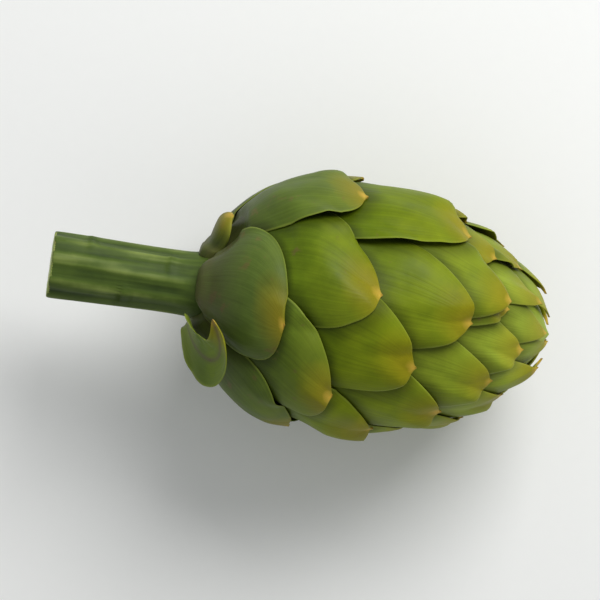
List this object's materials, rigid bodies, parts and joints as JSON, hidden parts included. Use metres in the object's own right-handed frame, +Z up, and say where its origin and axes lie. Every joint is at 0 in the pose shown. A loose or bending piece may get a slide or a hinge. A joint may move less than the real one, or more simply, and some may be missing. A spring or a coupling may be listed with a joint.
{
  "type": "globe artichoke",
  "caption": "Whole green globe artichoke lying on its side: a ribbed cut stem, a round head of overlapping pointed bracts in a spiral, and a closed bud at the tip.",
  "frame": {"origin": "centre of the bounding box, on the surface the artichoke lies on", "axes": "+X from the stem towards the head's tip, +Z up from the surface it lies on"},
  "size_m": [0.1462, 0.078, 0.078],
  "materials": {
    "stem": "matt fibrous green stem, paler where it is cut",
    "basal_bract": "satin dark green leathery bract",
    "bract": "satin olive green waxy bract with fine veins",
    "inner_bud": "satin pale yellow-green young bracts, closed together"
  },
  "bodies": {
    "root": {"stem_and_heart": "stem", "basal_bract_under": "basal_bract", "basal_bract_curled": "basal_bract", "basal_bract_side": "basal_bract", "basal_bract_lower": "basal_bract", "bract_01": "bract", "bract_02": "bract", "bract_03": "bract", "bract_04": "bract", "bract_05": "bract", "bract_06": "bract", "bract_07": "bract", "bract_08": "bract", "bract_09": "bract", "bract_10": "bract", "bract_11": "bract", "bract_12": "bract", "bract_13": "bract", "bract_14": "bract", "bract_15": "bract", "bract_16": "bract", "bract_17": "bract", "bract_18": "bract", "bract_19": "bract", "bract_20": "bract", "bract_21": "bract", "bract_22": "bract", "bract_23": "bract", "bract_24": "bract", "bract_25": "bract", "bract_26": "bract", "bract_27": "bract", "bract_28": "bract", "bract_29": "bract", "bract_30": "bract", "bract_31": "bract", "bract_32": "bract", "bract_33": "bract", "bract_34": "bract", "bract_35": "bract", "bract_36": "bract", "bract_37": "bract", "bract_38": "bract", "bract_39": "bract", "bract_40": "bract", "bract_41": "bract", "bract_42": "bract", "bract_43": "bract", "bract_44": "bract", "bract_45": "bract", "bract_46": "bract", "bract_47": "bract", "bract_48": "bract", "bract_49": "bract", "bract_50": "bract", "inner_bud": "inner_bud"}
  },
  "joints": []
}
